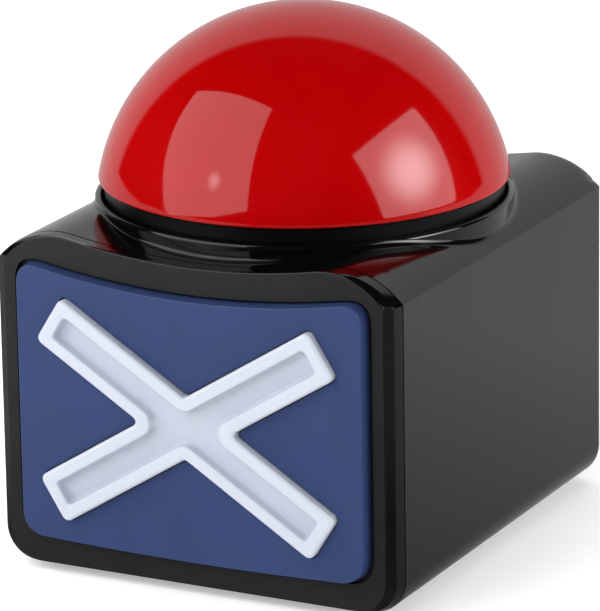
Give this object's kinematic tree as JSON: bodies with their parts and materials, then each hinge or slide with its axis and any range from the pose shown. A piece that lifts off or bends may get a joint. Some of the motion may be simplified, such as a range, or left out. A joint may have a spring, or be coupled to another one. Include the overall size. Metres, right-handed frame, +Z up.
{
  "type": "quiz buzzer",
  "caption": "Black box-shaped quiz buzzer with a red push dome on top and a blue front panel carrying a white cross.",
  "frame": {"origin": "middle of the footprint, on the plane the feet stand on", "axes": "+Z up through the dome, +X to the object's left as the front is faced from -Y, -Y towards the front panel"},
  "size_m": [0.0892, 0.104, 0.1101],
  "materials": {
    "black_gloss": "gloss",
    "black_satin": "satin",
    "panel_blue": "satin",
    "cross_white": "satin",
    "dome_red": "gloss",
    "inner_black": "matte",
    "steel": "satin",
    "spring_steel": "polished",
    "board_green": "satin",
    "led_clear": "gloss",
    "switch_white": "satin",
    "chip_black": "matte",
    "capacitor_sleeve": "satin",
    "speaker_steel": "satin",
    "magnet": "matte",
    "cone_paper": "matte",
    "cell_sleeve": "gloss",
    "rubber_black": "matte",
    "lead_red": "satin",
    "lead_black": "satin"
  },
  "bodies": {
    "case": {"base_plate": "black_satin", "base_screw_1": "steel", "base_screw_2": "steel", "base_screw_3": "steel", "base_screw_4": "steel", "battery_1": "cell_sleeve", "battery_2": "cell_sleeve", "battery_3": "cell_sleeve", "battery_contact_1": "steel", "battery_contact_2": "steel", "battery_contact_3": "steel", "battery_lead": "lead_red", "battery_spring_1": "spring_steel", "battery_spring_2": "spring_steel", "battery_spring_3": "spring_steel", "bezel_screw_1": "steel", "bezel_screw_2": "steel", "bezel_screw_3": "steel", "bezel_screw_4": "steel", "board_screw_1": "steel", "board_screw_2": "steel", "button_deck": "inner_black", "capacitor": "capacitor_sleeve", "cross_emblem": "cross_white", "deck_lead": "lead_red", "deck_screw_1": "steel", "deck_screw_2": "steel", "deck_screw_3": "steel", "deck_screw_4": "steel", "dome_led_1": "led_clear", "dome_led_2": "led_clear", "dome_led_3": "led_clear", "dome_led_board": "board_green", "foot_1": "rubber_black", "foot_2": "rubber_black", "foot_3": "rubber_black", "foot_4": "rubber_black", "front_bezel": "black_satin", "front_panel": "panel_blue", "main_board": "board_green", "power_switch_body": "speaker_steel", "press_switch_body": "chip_black", "return_spring_1": "spring_steel", "return_spring_2": "spring_steel", "return_spring_3": "spring_steel", "sound_chip": "chip_black", "speaker_basket": "speaker_steel", "speaker_lead": "lead_black", "speaker_magnet": "magnet", "upper_housing": "black_gloss"},
    "dome": {"dome_cap": "dome_red", "dome_carrier": "inner_black", "leg_screw_1": "steel", "leg_screw_2": "steel", "leg_screw_3": "steel"},
    "switch_plunger": {"press_switch_plunger": "switch_white"},
    "power_knob": {"power_switch_knob": "inner_black"},
    "door": {"battery_door": "black_satin", "door_screw": "steel"},
    "cone": {"speaker_cone": "cone_paper"}
  },
  "joints": [
    {"name": "dome_press", "type": "slide", "parent": "case", "child": "dome", "axis": [0, 0, -1], "range_m": [0, 0.0028], "stiffness_N_per_m": 1500, "springref_m": -0.002, "deforming": ["return_spring_1", "return_spring_2", "return_spring_3"]},
    {"name": "switch_press", "type": "slide", "parent": "case", "child": "switch_plunger", "axis": [0, 0, -1], "range_m": [0, 0.0028]},
    {"name": "power_slide", "type": "slide", "parent": "case", "child": "power_knob", "axis": [0, 1, 0], "range_m": [0, 0.004]},
    {"name": "battery_door_hinge", "type": "hinge", "parent": "case", "child": "door", "pos_m": [0, -0.0396, 0.001], "axis": [-1, 0, 0], "range_deg": [0, 70]},
    {"name": "cone_travel", "type": "slide", "parent": "case", "child": "cone", "axis": [0, 0, 1], "range_m": [-0.0004, 0.0004], "stiffness_N_per_m": 1000}
  ],
  "couplings": [
    {"joint": "switch_press", "follows": "dome_press", "ratio": 1}
  ]
}
